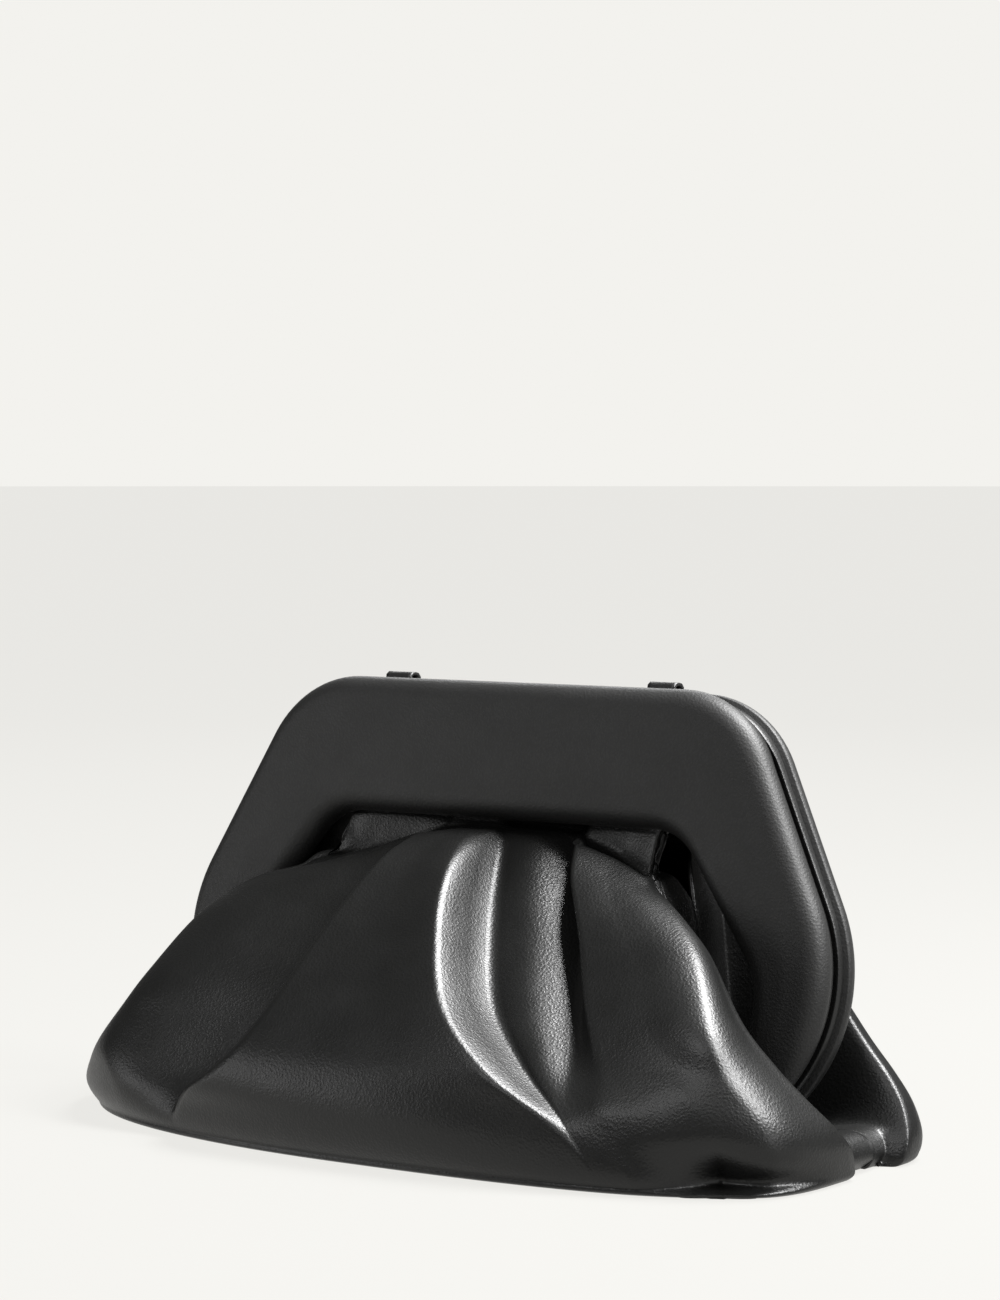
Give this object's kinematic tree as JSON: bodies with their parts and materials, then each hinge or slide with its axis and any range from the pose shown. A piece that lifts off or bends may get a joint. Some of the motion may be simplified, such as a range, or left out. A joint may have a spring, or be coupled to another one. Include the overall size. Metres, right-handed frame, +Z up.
{
  "type": "cloud pouch bag",
  "caption": "Gathered leather pouch bag hanging from a padded two-part clasp frame with strap loops, standing upright on its base",
  "frame": {"origin": "on the floor, under the middle of the bag's bounds", "axes": "+X along the bag's width, -Y towards the front with the larger bulge, +Z up"},
  "size_m": [0.367, 0.173, 0.1827],
  "materials": {
    "padded_leather": "fine-grained black leather over padding, satin",
    "backing_leather": "black leather over board, satin",
    "pouch_leather": "soft smooth black leather, satin gloss",
    "loop_leather": "black leather strip, satin"
  },
  "bodies": {
    "root": {"front_panel": "padded_leather", "front_backing": "backing_leather", "back_backing": "backing_leather", "back_panel": "padded_leather", "pouch_front": "pouch_leather", "pouch_back": "pouch_leather", "strap_loop_left": "loop_leather", "strap_loop_right": "loop_leather"}
  },
  "joints": []
}
